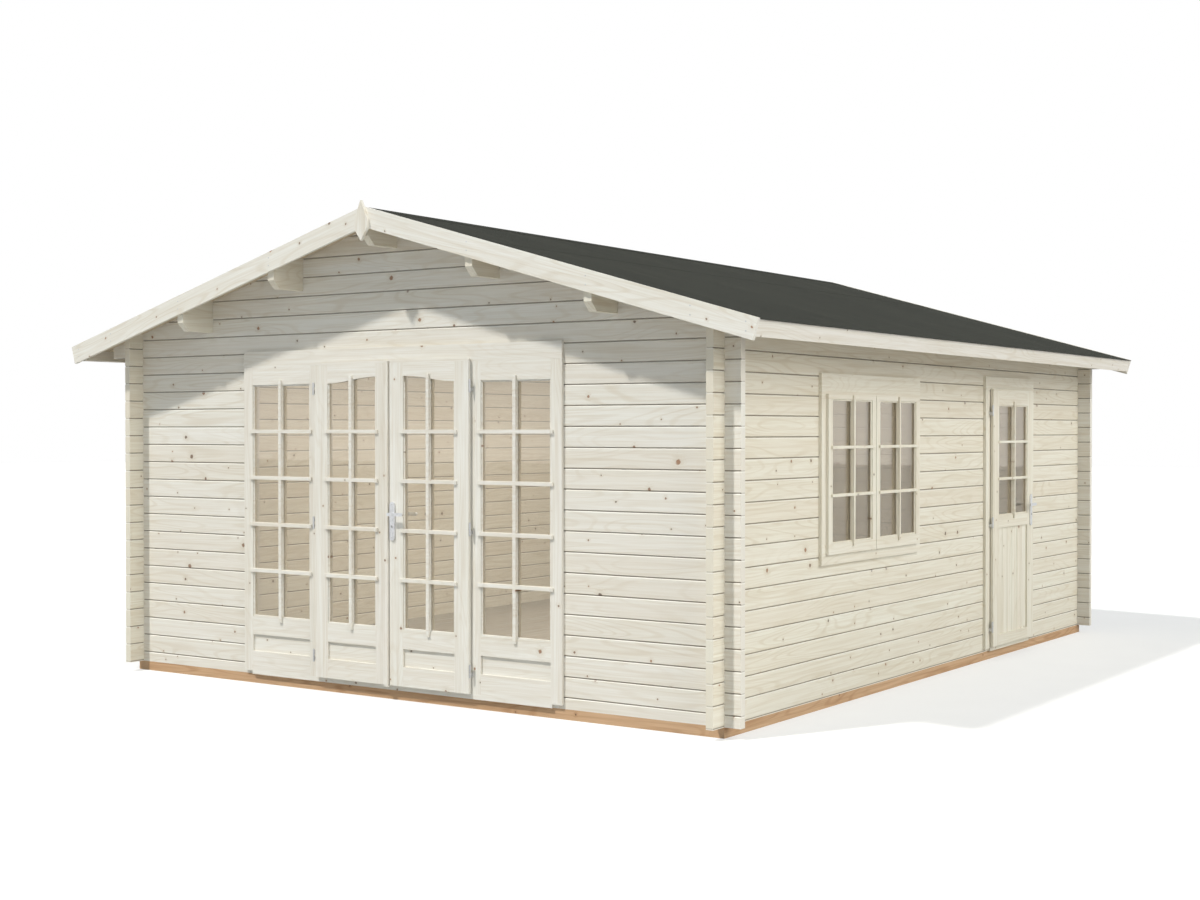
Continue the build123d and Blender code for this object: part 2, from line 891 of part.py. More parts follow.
def barrel(plane_at, across, low, high, radius, mode=Mode.ADD):
    """Upright cylinder on a hinge's axis."""
    with BuildSketch(Plane.XY.offset(low)) as outline:
        with Locations(hinge_place(plane_at, across)):
            Circle(radius)
    extrude(outline.sketch, amount=high - low, mode=mode)


def frame_knuckle(plane_at, across, height):
    """Lower knuckle with its pin, on a lug that reaches back to the frame."""
    barrel(plane_at, across, height - hinge_half_length, height - hinge_half_gap, hinge_radius)
    barrel(plane_at, across, height - hinge_half_gap, height + hinge_pin_length, hinge_pin_radius)
    block(
        plane_at,
        across - hinge_lug / 2,
        across + hinge_lug / 2,
        height - hinge_lug_high,
        height - hinge_lug_low,
        -casing_thickness,
        hinge_depth,
    )


def leaf_knuckle(plane_at, across, edge, height):
    """Upper knuckle, bored for the pin, on a lug that reaches to the leaf's edge."""
    low = height + hinge_half_gap
    left, right = sorted((across, edge))
    middle = leaf_face + hinge_lug
    block(
        plane_at,
        left,
        right,
        height + hinge_lug_low,
        height + hinge_lug_high,
        middle + hinge_lug / 2,
        middle - hinge_lug / 2,
    )
    bore_top = height + hinge_pin_length + hinge_pin_fit
    barrel(plane_at, across, low, height + hinge_half_length, hinge_radius)
    barrel(plane_at, across, low, bore_top, hinge_pin_radius + hinge_pin_fit, Mode.SUBTRACT)


front_hinge_across = leaf_half_opening + hinge_axis_side
side_hinge_across = side_leaf_left - hinge_axis_side
with BuildPart() as frame_knuckles:
    for side in (-1, 1):
        for height in front_hinge_heights:
            frame_knuckle(front_plane, side * front_hinge_across, height)
    for height in side_hinge_heights:
        frame_knuckle(side_plane, side_hinge_across, height)
frame_knuckles.part.label = "frame_knuckles"
export_step(frame_knuckles.part, "parts/frame_knuckles.step")

for side, name in ((-1, "front_knuckles_left"), (1, "front_knuckles_right")):
    with BuildPart() as front_knuckles:
        for height in front_hinge_heights:
            leaf_knuckle(front_plane, side * front_hinge_across, side * leaf_half_opening, height)
    front_knuckles.part.label = name
    export_step(front_knuckles.part, f"parts/{name}.step")

with BuildPart() as side_knuckles:
    for height in side_hinge_heights:
        leaf_knuckle(side_plane, side_hinge_across, side_leaf_left, height)
side_knuckles.part.label = "side_knuckles"
export_step(side_knuckles.part, "parts/side_knuckles.step")


def handle_plates(plane_at, across, height):
    """Long plates on both faces of a leaf, bored for the handle's neck."""
    middle = height - lever_above_plate_middle
    for back in (leaf_face, leaf_back + plate_thickness):
        with BuildSketch(plane_at(back)) as outline:
            with Locations((across, middle)):
                SlotOverall(plate_height, plate_width, rotation=90)
        extrude(outline.sketch, amount=plate_thickness)
        hole_radius = lever_neck_radius + plate_fit
        rod(plane_at, across, height, hole_radius, back, back - plate_thickness, Mode.SUBTRACT)


def lever(plane_at, across, height, direction):
    """Grips on both sides of a leaf, on necks that a spindle joins."""
    outside = leaf_face - lever_leaf_gap
    inside = leaf_back + lever_leaf_gap
    rod(plane_at, across, height, spindle_radius, inside, outside)
    rod(plane_at, across, height, lever_neck_radius, outside, leaf_face - lever_reach)
    rod(plane_at, across, height, lever_neck_radius, leaf_back + lever_reach, inside)
    middle = across + direction * (lever_length / 2 - lever_grip_height / 2)
    for back in (leaf_face - lever_reach + lever_grip_thickness, leaf_back + lever_reach):
        with BuildSketch(plane_at(back)) as outline:
            with Locations((middle, height)):
                SlotOverall(lever_length, lever_grip_height)
        extrude(outline.sketch, amount=lever_grip_thickness)


with BuildPart() as front_plates:
    handle_plates(front_plane, front_lever_across, front_lever_height)
front_plates.part.label = "front_plates"
export_step(front_plates.part, "parts/front_plates.step")

with BuildPart() as front_lever:
    lever(front_plane, front_lever_across, front_lever_height, 1)
front_lever.part.label = "front_lever"
export_step(front_lever.part, "parts/front_lever.step")

with BuildPart() as side_plates:
    handle_plates(side_plane, side_lever_across, side_lever_height)
side_plates.part.label = "side_plates"
export_step(side_plates.part, "parts/side_plates.step")

with BuildPart() as side_lever:
    lever(side_plane, side_lever_across, side_lever_height, -1)
side_lever.part.label = "side_lever"
export_step(side_lever.part, "parts/side_lever.step")
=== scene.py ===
import math

import bmesh
import bpy
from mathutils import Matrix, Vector


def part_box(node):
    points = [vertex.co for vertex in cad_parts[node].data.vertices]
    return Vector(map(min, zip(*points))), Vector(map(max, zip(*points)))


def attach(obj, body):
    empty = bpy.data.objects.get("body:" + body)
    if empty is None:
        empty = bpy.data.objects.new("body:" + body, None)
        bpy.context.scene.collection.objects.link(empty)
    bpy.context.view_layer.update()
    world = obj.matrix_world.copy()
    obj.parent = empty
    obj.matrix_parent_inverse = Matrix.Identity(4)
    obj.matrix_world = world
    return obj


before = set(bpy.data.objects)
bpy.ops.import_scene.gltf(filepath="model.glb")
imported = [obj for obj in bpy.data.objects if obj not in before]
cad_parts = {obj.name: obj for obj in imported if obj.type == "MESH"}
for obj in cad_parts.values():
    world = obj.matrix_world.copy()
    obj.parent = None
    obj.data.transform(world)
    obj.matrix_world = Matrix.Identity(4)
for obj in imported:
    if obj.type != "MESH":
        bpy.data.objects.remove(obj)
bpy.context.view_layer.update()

# Sizes in metres that the finish and the added pieces share
COURSE = 0.114
FIRST_JOINT = 0.064
GLASS_REBATE = 0.0067
BAR_WIDTH = 0.022
SIDE_BAR_WIDTH = 0.017
BAR_PROUD = 0.011
BAR_OVERRUN = 0.020
UPRIGHT_BAR_EXTRA = 0.006
UPRIGHT_BAR_PROUD = 0.001
FRONT_PANE_ROWS = 5
SIDE_PANE_ROWS = 3
BEAD = 0.009
BEAD_ROUND = 0.003
EDGE_ROUND = 0.0015
FLOOR_BOARD = 0.087
ROOF_BOARD = 0.096
FELT_LAP_STEP = 0.92
FELT_LAP_RISE = 0.0022
RIDGE_CAP_WIDTH = 0.25
KEY_BELOW_LEVER = 0.072


# Node material helpers

class Shader:
    """A node material under construction."""

    def __init__(self, name):
        self.material = bpy.data.materials.new(name)
        self.material.use_nodes = True
        self.tree = self.material.node_tree
        self.tree.nodes.clear()
        self.out = self.tree.nodes.new("ShaderNodeOutputMaterial")

    def node(self, kind, settings=None, **inputs):
        made = self.tree.nodes.new(kind)
        for key, value in (settings or {}).items():
            setattr(made, key, value)
        for key, value in inputs.items():
            socket = made.inputs[int(key[1:])] if key[0] == "i" and key[1:].isdigit() else made.inputs[key]
            self.feed(socket, value)
        return made

    def feed(self, socket, value):
        if isinstance(value, bpy.types.NodeSocket):
            self.tree.links.new(value, socket)
        else:
            socket.default_value = value

    def math(self, operation, first, second=0.0, third=0.0):
        made = self.node("ShaderNodeMath", {"operation": operation}, i0=first, i1=second, i2=third)
        return made.outputs[0]

    def vector(self, x, y, z):
        return self.node("ShaderNodeCombineXYZ", i0=x, i1=y, i2=z).outputs[0]

    def scaled(self, along, over, third, along_scale, across_scale):
        """Texture place that is drawn out along the grain."""
        return self.vector(
            self.math("MULTIPLY", along, along_scale),
            self.math("MULTIPLY", over, across_scale),
            self.math("MULTIPLY", third, across_scale),
        )

    def ramp(self, value, low, high, bottom=0.0, top=1.0):
        made = self.node("ShaderNodeMapRange", i0=value, i1=low, i2=high, i3=bottom, i4=top)
        return made.outputs[0]

    def mix(self, factor, first, second):
        made = self.tree.nodes.new("ShaderNodeMix")
        made.data_type = "RGBA"
        self.feed(made.inputs[0], factor)
        self.feed(made.inputs[6], first)
        self.feed(made.inputs[7], second)
        return made.outputs[2]

    def noise(self, vector, scale, detail=3.0, roughness=0.55, distortion=0.0):
        made = self.node(
            "ShaderNodeTexNoise",
            Vector=vector,
            Scale=scale,
            Detail=detail,
            Roughness=roughness,
            Distortion=distortion,
        )
        return made.outputs[0]

    def bump(self, height, strength, distance):
        made = self.node("ShaderNodeBump", Strength=strength, Distance=distance, Height=height)
        return made.outputs[0]

    def finish(self, surface):
        self.tree.links.new(surface, self.out.inputs[0])
        return self.material


def rgb(red, green, blue):
    """Linear colour of an sRGB value out of 255."""
    def linear(value):
        value /= 255
        return value / 12.92 if value <= 0.04045 else ((value + 0.055) / 1.055) ** 2.4
    return (linear(red), linear(green), linear(blue), 1.0)


def no_rails(s, split):
    return None


# Where joinery lies level: middle and half width of each stretch, and heights of heads and sills
LEAF_RAIL = (0.300, 0.193)
LIGHT_RAIL = (0.910, 0.245)
FRONT_HEAD = 1.976
FRONT_SILL = 0.087
WINDOW_END = -0.2
WINDOW_SILL = 0.937
WINDOW_HEAD = 1.76
SIDE_LEAF_RAIL = (1.2575, 0.2745)
SIDE_LEAF_BOARDS = (0.5345, 0.3705)
SIDE_HEAD = 1.857


def front_rails(s, split):
    """One where a front door or side light piece lies level, and nought where it stands."""
    x = s.math("ABSOLUTE", split.outputs[0])
    z = split.outputs[2]
    leaf_rail = s.math("COMPARE", x, *LEAF_RAIL)
    light_rail = s.math("COMPARE", x, *LIGHT_RAIL)
    head = s.math("GREATER_THAN", z, FRONT_HEAD)
    sill = s.math("LESS_THAN", z, FRONT_SILL)
    return s.math("MAXIMUM", s.math("MAXIMUM", leaf_rail, light_rail), s.math("MAXIMUM", head, sill))


def side_rails(s, split):
    """One where a side door or window piece lies level, and nought where it stands."""
    y = split.outputs[1]
    z = split.outputs[2]
    window = s.math("LESS_THAN", y, WINDOW_END)
    window_sill = s.math("LESS_THAN", z, WINDOW_SILL)
    window_level = s.math("MAXIMUM", window_sill, s.math("GREATER_THAN", z, WINDOW_HEAD))
    between = s.math("COMPARE", y, *SIDE_LEAF_RAIL)
    boards = s.math("COMPARE", z, *SIDE_LEAF_BOARDS)
    door_level = s.math("MULTIPLY", between, s.math("SUBTRACT", 1.0, boards))
    door_level = s.math("MAXIMUM", door_level, s.math("GREATER_THAN", z, SIDE_HEAD))
    return s.math("MULTIPLY_ADD", window, s.math("SUBTRACT", window_level, door_level), door_level)


def wood(
    name, tones, grain, across, pitch, start, seed,
    knot_share=0.5, tone=0.5, joints=0.0, groove=0.0, fall=0.0, rails=no_rails, figure_share=0.36,
):
    """Planed softwood. Grain runs along one axis, and boards of a pitch follow each other along another."""
    pale, deep, line = tones
    s = Shader(name)
    place = s.node("ShaderNodeTexCoord").outputs["Object"]
    split = s.node("ShaderNodeSeparateXYZ", i0=place)
    along = split.outputs[grain]
    over = split.outputs[across]
    third = split.outputs[3 - grain - across]
    if fall:
        over = s.math("MULTIPLY_ADD", s.math("ABSOLUTE", along), fall, over)
    level = rails(s, split)
    if level:
        place_joint = s.node("ShaderNodeBump", Strength=0.6, Distance=0.0015, Height=level).outputs[0]
        standing = along
        along = s.math("MULTIPLY_ADD", level, s.math("SUBTRACT", over, along), along)
        over = s.math("MULTIPLY_ADD", level, s.math("SUBTRACT", standing, over), over)
    counted = s.math("DIVIDE", s.math("SUBTRACT", over, start), pitch)
    board = s.math("FLOOR", counted)
    inside = s.math("FRACT", counted)
    dice = s.node("ShaderNodeTexWhiteNoise", {"noise_dimensions": "2D"}, Vector=s.vector(board, seed, 0.0))
    random_value = dice.outputs["Value"]
    random_color = s.node("ShaderNodeSeparateColor", i0=dice.outputs["Color"])
    shift = s.math("MULTIPLY", random_value, 37.0)
    far_along = s.math("ADD", along, shift)

    knots = s.node(
        "ShaderNodeTexVoronoi",
        {"voronoi_dimensions": "2D"},
        Vector=s.vector(far_along, s.math("ADD", over, random_color.outputs[1]), 0.0),
        Scale=4.2,
    )
    knot_dice = s.node("ShaderNodeSeparateColor", i0=knots.outputs["Color"])
    chosen = s.math("LESS_THAN", knot_dice.outputs[0], knot_share)
    size = s.math("MULTIPLY_ADD", s.math("POWER", knot_dice.outputs[1], 3.0), 0.046, 0.020)
    wobble = s.noise(place, 90.0, 2.0)
    uneven_size = s.math("MULTIPLY", size, s.ramp(wobble, 0.3, 0.7, 0.75, 1.25))
    nearness = s.math("DIVIDE", knots.outputs["Distance"], uneven_size)
    core = s.math("MULTIPLY", s.ramp(nearness, 0.70, 1.05, 1.0, 0.0), chosen)
    halo = s.math("MULTIPLY", s.ramp(nearness, 0.9, 3.6, 1.0, 0.0), chosen)

    pull = s.math("MULTIPLY", halo, 0.012)
    bent = s.math("ADD", over, pull)
    streak_place = s.scaled(far_along, bent, third, 0.8, 34.0)
    streaks = s.noise(streak_place, 1.6, 5.0, 0.62, 0.25)
    figure = s.noise(s.scaled(far_along, bent, third, 0.75, 6.5), 1.0, 1.0, 0.4, 0.3)
    rings = s.math("SINE", s.math("MULTIPLY", figure, 105.0))
    ring_lines = s.ramp(rings, 0.35, 1.0, 0.0, 1.0)
    cloud_place = s.vector(s.math("MULTIPLY", far_along, 0.7), s.math("MULTIPLY", over, 5.0), third)
    cloud = s.noise(cloud_place, 1.0, 2.0)

    board_tone = s.mix(s.math("MULTIPLY", random_value, tone), pale, deep)
    pinkish = s.mix(s.math("MULTIPLY", random_color.outputs[0], 0.14), board_tone, rgb(224, 204, 192))
    body = s.mix(s.ramp(cloud, 0.35, 0.75, 0.0, 0.45), pinkish, deep)
    body = s.mix(s.ramp(streaks, 0.40, 0.70, 0.0, 0.42), body, line)
    body = s.mix(s.math("MULTIPLY", ring_lines, s.ramp(cloud, 0.3, 0.6, 0.04, figure_share)), body, line)
    fine = s.noise(s.scaled(far_along, bent, third, 3.0, 260.0), 1.0, 3.0, 0.6)
    body = s.mix(s.ramp(fine, 0.45, 0.75, 0.0, 0.22), body, line)
    knot_color = s.mix(knot_dice.outputs[2], rgb(158, 112, 78), rgb(92, 74, 60))
    body = s.mix(s.math("MULTIPLY", halo, 0.34), body, line)
    body = s.mix(s.math("MULTIPLY", core, 0.85), body, knot_color)

    normal = s.node("ShaderNodeSeparateXYZ", i0=s.node("ShaderNodeNewGeometry").outputs["True Normal"])
    facing = s.math("ABSOLUTE", normal.outputs[grain])
    end_grain = s.ramp(facing, 0.75, 0.95, 0.0, 1.0)
    pith_side = s.math("ADD", third, s.math("MULTIPLY", random_value, 0.05))
    pith_up = s.math("MULTIPLY", s.math("SUBTRACT", inside, random_color.outputs[1]), pitch)
    year_rings = s.node(
        "ShaderNodeTexWave",
        {"wave_type": "RINGS", "rings_direction": "Z"},
        Vector=s.vector(pith_side, pith_up, 0.0),
        Scale=95.0,
        Distortion=1.2,
        Detail=2.0,
    ).outputs["Fac"]
    end_color = s.mix(s.ramp(year_rings, 0.3, 0.9, 0.0, 0.55), pinkish, line)
    body = s.mix(end_grain, body, end_color)
    if joints:
        edge = s.math("MINIMUM", inside, s.math("SUBTRACT", 1.0, inside))
        seam = s.ramp(s.math("MULTIPLY", edge, pitch), joints * 0.35, joints, 1.0, 0.0)
        body = s.mix(s.math("MULTIPLY", seam, 0.72), body, rgb(92, 72, 50))
        relief = s.math("SUBTRACT", s.math("MULTIPLY", streaks, 0.12), seam)
        normal_in = s.bump(relief, 0.8, 0.003)
    else:
        relief = s.math("SUBTRACT", s.math("MULTIPLY", streaks, 0.5), s.math("MULTIPLY", core, 0.6))
        normal_in = s.bump(relief, 0.35, 0.0008)
        if level:
            s.tree.links.new(place_joint, normal_in.node.inputs["Normal"])
    # Painted highlight in a band along the top of each log just under the joint above, and painted shade
    # along the bottom of each log and deep in the groove, the shade weaker on end grain
    if groove:
        above_joint = s.math("MULTIPLY", inside, pitch)
        below_joint = s.math("SUBTRACT", pitch, above_joint)
        painted_edge_highlight = s.math("COMPARE", below_joint, groove * 0.9, groove * 0.35)
        body = s.mix(s.math("MULTIPLY", painted_edge_highlight, 0.55), body, rgb(248, 246, 240))
        under_log = s.ramp(above_joint, groove * 0.3, groove * 0.9, 1.0, 0.0)
        deep_in = s.ramp(below_joint, groove * 0.1, groove * 0.5, 1.0, 0.0)
        dark = s.math("MAXIMUM", under_log, deep_in)
        strength = s.ramp(end_grain, 0.0, 1.0, 0.78, 0.30)
        body = s.mix(s.math("MULTIPLY", dark, strength), body, rgb(104, 94, 80))
    rough = s.ramp(streaks, 0.2, 0.8, 0.56, 0.72)
    shader = s.node(
        "ShaderNodeBsdfPrincipled",
        **{"Base Color": body, "Roughness": rough, "Normal": normal_in, "Specular IOR Level": 0.25},
    )
    return s.finish(shader.outputs[0])


def glass():
    """Clear panes: see-through, with a little of the surroundings reflected."""
    s = Shader("glass_clear")
    place = s.node("ShaderNodeTexCoord").outputs["Object"]
    ripple = s.bump(s.noise(place, 1.3, 1.0), 0.05, 0.01)
    clear = s.node("ShaderNodeBsdfTransparent", Color=(0.95, 0.94, 0.92, 1.0)).outputs[0]
    mirror = (0.88, 0.85, 0.80, 1.0)
    gloss = s.node("ShaderNodeBsdfGlossy", Color=mirror, Roughness=0.02, Normal=ripple).outputs[0]
    facing = s.node("ShaderNodeLayerWeight", Blend=0.22).outputs["Fresnel"]
    share = s.ramp(facing, 0.0, 1.0, 0.14, 0.80)
    made = s.node("ShaderNodeMixShader", i0=share, i1=clear, i2=gloss)
    return s.finish(made.outputs[0])


def metal(name, color, roughness, brush_axis):
    """Bare metal with fine brushing along one axis and a little grime."""
    s = Shader(name)
    place = s.node("ShaderNodeTexCoord").outputs["Object"]
    split = s.node("ShaderNodeSeparateXYZ", i0=place)
    scales = [900.0, 900.0, 900.0]
    scales[brush_axis] = 20.0
    drawn = s.vector(*[s.math("MULTIPLY", split.outputs[i], scales[i]) for i in range(3)])
    brushing = s.noise(drawn, 1.0, 2.0)
    grime = s.noise(place, 60.0, 4.0)
    tint = s.mix(s.ramp(grime, 0.45, 0.8, 0.0, 0.35), color, (0.32, 0.31, 0.30, 1.0))
    rough = s.math("ADD", s.math("MULTIPLY", brushing, 0.16), roughness)
    normal = s.bump(brushing, 0.12, 0.0002)
    shader = s.node(
        "ShaderNodeBsdfPrincipled",
        **{"Base Color": tint, "Roughness": rough, "Normal": normal, "Metallic": 1.0},
    )
    return s.finish(shader.outputs[0])


def felt():
    """Mineral-surfaced roofing felt: granules, faint streaks down the slope and weathered patches."""
    s = Shader("felt_mineral")
    place = s.node("ShaderNodeTexCoord").outputs["Object"]
    split = s.node("ShaderNodeSeparateXYZ", i0=place)
    grit = s.node("ShaderNodeTexVoronoi", Vector=place, Scale=420.0)
    grit_dice = s.node("ShaderNodeSeparateColor", i0=grit.outputs["Color"]).outputs[0]
    down_slope = s.math("MULTIPLY", split.outputs[0], 1.2)
    across_slope = s.math("MULTIPLY", split.outputs[1], 26.0)
    strip_place = s.vector(down_slope, across_slope, 0.0)
    streak = s.noise(strip_place, 1.0, 4.0, 0.6)
    patch = s.noise(place, 1.1, 4.0, 0.6)
    base = s.mix(s.ramp(grit_dice, 0.2, 1.0, 0.0, 0.75), rgb(26, 28, 25), rgb(60, 62, 54))
    base = s.mix(s.ramp(streak, 0.45, 0.75, 0.0, 0.40), base, rgb(74, 74, 66))
    base = s.mix(s.ramp(patch, 0.4, 0.8, 0.0, 0.30), base, rgb(24, 26, 23))
    relief = s.math("ADD", grit.outputs["Distance"], s.math("MULTIPLY", patch, 0.5))
    normal = s.bump(relief, 0.6, 0.0012)
    shader = s.node(
        "ShaderNodeBsdfPrincipled",
        **{"Base Color": base, "Roughness": 0.93, "Normal": normal, "Specular IOR Level": 0.1},
    )
    return s.finish(shader.outputs[0])


def rubber(name, color):
    """Matt dark colour, painted shade inside the keyholes, with light flecks of dust."""
    s = Shader(name)
    place = s.node("ShaderNodeTexCoord").outputs["Object"]
    dust = s.noise(place, 90.0, 4.0)
    tint = s.mix(s.ramp(dust, 0.4, 0.8, 0.0, 0.4), color, rgb(120, 116, 108))
    normal = s.bump(dust, 0.2, 0.0003)
    shader = s.node("ShaderNodeBsdfPrincipled", **{"Base Color": tint, "Roughness": 0.7, "Normal": normal})
    return s.finish(shader.outputs[0])


X, Y, Z = 0, 1, 2
GABLE_JOINT = FIRST_JOINT + COURSE / 2
CREAM = (rgb(236, 235, 229), rgb(226, 222, 209), rgb(205, 193, 172))
WARM_CREAM = (rgb(235, 233, 221), rgb(224, 217, 198), rgb(202, 188, 162))
TAN = (rgb(216, 205, 182), rgb(204, 188, 160), rgb(176, 154, 120))
GREYED = (rgb(188, 184, 174), rgb(172, 166, 152), rgb(140, 130, 112))
TREATED = (rgb(216, 184, 146), rgb(192, 150, 108), rgb(152, 108, 68))
ROOF_PITCH = 15.87
SLOPE_FALL = math.tan(math.radians(ROOF_PITCH))

LOG_GROOVE = 0.006
BOARD_SEAM = 0.0035
FLOOR_SEAM = 0.003
JOINERY_FIGURE = 0.22

gable_logs = wood("wood_gable_logs", CREAM, X, Z, COURSE, GABLE_JOINT, 3.0, 0.78, groove=LOG_GROOVE)
side_logs = wood("wood_side_logs", WARM_CREAM, Y, Z, COURSE, FIRST_JOINT, 8.0, 0.78, groove=LOG_GROOVE)
front_joinery = wood(
    "wood_front_joinery", CREAM, Z, X, 0.104, 0.003, 12.0, 0.75, 0.15,
    rails=front_rails, figure_share=JOINERY_FIGURE,
)
side_joinery = wood(
    "wood_side_joinery", WARM_CREAM, Z, Y, 0.085, 0.02, 14.0, 0.75, 0.15,
    rails=side_rails, figure_share=JOINERY_FIGURE,
)
upright_wood = wood("wood_upright", CREAM, Z, X, 0.3, 0.05, 13.0, 0.4, 0.2)
barge_wood = wood("wood_barge", CREAM, X, Z, 3.0, 0.0, 16.0, 0.62, 0.1, fall=SLOPE_FALL)
eave_wood = wood("wood_eave", CREAM, Y, Z, 0.5, 0.0, 21.0, 0.5, 0.1)
purlin_wood = wood("wood_purlin", WARM_CREAM, Y, X, 0.4, 0.1, 24.0, 0.4, 0.3)
roof_underside = wood("wood_roof_boards", TAN, X, Y, ROOF_BOARD, 0.0, 27.0, 0.5, 0.6, BOARD_SEAM)
floor_wood = wood("wood_floor", GREYED, Y, X, FLOOR_BOARD, 0.0, 31.0, 0.4, 0.6, FLOOR_SEAM)
treated_wood = wood("wood_treated", TREATED, Y, Z, 0.4, 0.0, 35.0, 0.4, 0.4)
treated_cross_wood = wood("wood_treated_cross", TREATED, X, Z, 0.4, 0.0, 37.0, 0.4, 0.4)
clear_glass = glass()
hinge_metal = metal("metal_hinge", (0.62, 0.63, 0.64, 1.0), 0.32, Z)
handle_metal = metal("metal_handle", (0.83, 0.84, 0.86, 1.0), 0.26, Z)
felt_finish = felt()
keyhole_shade = rubber("rubber_dark", rgb(38, 36, 34))

NODE_FINISHES = {
    "foundation_long_beams": treated_wood,
    "foundation_cross_beams": treated_cross_wood,
    "floor": floor_wood,
    "front_wall_left": gable_logs,
    "front_wall_right": gable_logs,
    "front_gable": gable_logs,
    "back_gable": gable_logs,
    "back_wall": gable_logs,
    "left_wall": side_logs,
    "right_wall_front": side_logs,
    "right_wall_below_window": side_logs,
    "right_wall_middle": side_logs,
    "right_wall_back": side_logs,
    "right_wall_top": side_logs,
    "purlins": purlin_wood,
    "roof_boards_left": roof_underside,
    "roof_boards_right": roof_underside,
    "roof_felt": felt_finish,
    "bargeboards": barge_wood,
    "eave_boards": eave_wood,
    "finial": upright_wood,
    "front_frame": front_joinery,
    "front_casing": front_joinery,
    "front_leaf_left": front_joinery,
    "front_leaf_right": front_joinery,
    "meeting_strip": front_joinery,
    "side_frame": side_joinery,
    "side_casing": side_joinery,
    "side_leaf": side_joinery,
    "window_frame": side_joinery,
    "window_casing": side_joinery,
    "window_sashes": side_joinery,
    "side_lights": clear_glass,
    "front_glass_left": clear_glass,
    "front_glass_right": clear_glass,
    "side_glass": clear_glass,
    "window_glass": clear_glass,
    "frame_knuckles": hinge_metal,
    "front_knuckles_left": hinge_metal,
    "front_knuckles_right": hinge_metal,
    "side_knuckles": hinge_metal,
    "front_plates": handle_metal,
    "front_lever": handle_metal,
    "side_plates": handle_metal,
    "side_lever": handle_metal,
}
for name, finish in NODE_FINISHES.items():
    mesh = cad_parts[name].data
    mesh.materials.clear()
    mesh.materials.append(finish)


# Added pieces
FRONT_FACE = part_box("front_wall_left")[0][1]
RIGHT_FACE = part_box("right_wall_middle")[1][0]
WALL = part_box("left_wall")[1][0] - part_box("left_wall")[0][0]


def place_front(across, depth, height):
    """Point from its place on the front wall, with depth counted inwards from the wall's face."""
    return Vector((across, FRONT_FACE + depth, height))


def place_side(across, depth, height):
    """Point from its place on the right wall, with depth counted inwards from the wall's face."""
    return Vector((RIGHT_FACE - depth, across, height))


def boxes_piece(name, boxes, finish, body, round_edge=EDGE_ROUND):
    """One piece of several boxes, each given by two opposite corners, with eased edges."""
    shape = bmesh.new()
    for first, second in boxes:
        low = [min(pair) for pair in zip(first, second)]
        high = [max(pair) for pair in zip(first, second)]
        made = bmesh.ops.create_cube(shape, size=1.0)["verts"]
        for vert in made:
            vert.co = Vector([high[i] if vert.co[i] > 0 else low[i] for i in range(3)])
    if round_edge:
        edges = list(shape.edges)
        bmesh.ops.bevel(shape, geom=edges, offset=round_edge, segments=2, affect="EDGES", profile=0.6)
    mesh = bpy.data.meshes.new(name)
    shape.to_mesh(mesh)
    shape.free()
    return add_piece(name, mesh, finish, body)


def add_piece(name, mesh, finish, body):
    """Put a mesh in the scene as a piece that rides on a body."""
    mesh.materials.append(finish)
    piece = bpy.data.objects.new(name, mesh)
    bpy.context.scene.collection.objects.link(piece)
    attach(piece, body)
    return piece


def pane_opening(box_low, box_high, axis, rise=0.0):
    """Visible edges of a pane: its box without the part that sits in the groove."""
    left, right = box_low[axis] + GLASS_REBATE, box_high[axis] - GLASS_REBATE
    low, high = box_low[2] + GLASS_REBATE, box_high[2] - GLASS_REBATE - rise
    return left, right, low, high


def glazing_bars(
    name, place, opening, face, glass_front, glass_back, back, rows, finish, body, rise=0.0, width=BAR_WIDTH
):
    """Glazing bars in front of a pane that run over the frame at their ends, and plain ones behind it."""
    left, right, low, high = opening
    middle = (left + right) / 2
    half = width / 2
    top = high + rise * 0.5
    front = face - BAR_PROUD
    boxes = []
    for i in range(1, rows):
        z = low + (high - low) * i / rows
        boxes.append((place(left - BAR_OVERRUN, front, z - half), place(right + BAR_OVERRUN, face, z + half)))
        boxes.append((place(left, face, z - half), place(right, glass_front, z + half)))
        boxes.append((place(left, glass_back, z - half), place(right, back, z + half)))
    run = BAR_OVERRUN + UPRIGHT_BAR_EXTRA
    proud = front - UPRIGHT_BAR_PROUD
    boxes.append((place(middle - half, proud, low - run), place(middle + half, face, top + run)))
    boxes.append((place(middle - half, face, low), place(middle + half, glass_front, top)))
    boxes.append((place(middle - half, glass_back, low), place(middle + half, back, top)))
    return boxes_piece(name, boxes, finish, body)


def beads(name, place, opening, glass_front, finish, body, sides="lrbt"):
    """Slim beads against the glass, round its opening."""
    left, right, low, high = opening
    back = glass_front
    front = glass_front - BEAD
    boxes = []
    if "l" in sides:
        boxes.append((place(left, front, low), place(left + BEAD, back, high)))
    if "r" in sides:
        boxes.append((place(right - BEAD, front, low), place(right, back, high)))
    if "b" in sides:
        boxes.append((place(left + BEAD, front, low), place(right - BEAD, back, low + BEAD)))
    if "t" in sides:
        boxes.append((place(left + BEAD, front, high - BEAD), place(right - BEAD, back, high)))
    return boxes_piece(name, boxes, finish, body, BEAD_ROUND)


def depth_front(node, corner):
    """Depth behind the front wall's face of a node's outer side, corner 0, or inner side, corner 1."""
    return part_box(node)[corner][1] - FRONT_FACE


def depth_side(node, corner):
    """Depth behind the right wall's face of a node's outer side, corner 0, or inner side, corner 1."""
    return RIGHT_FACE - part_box(node)[1 - corner][0]


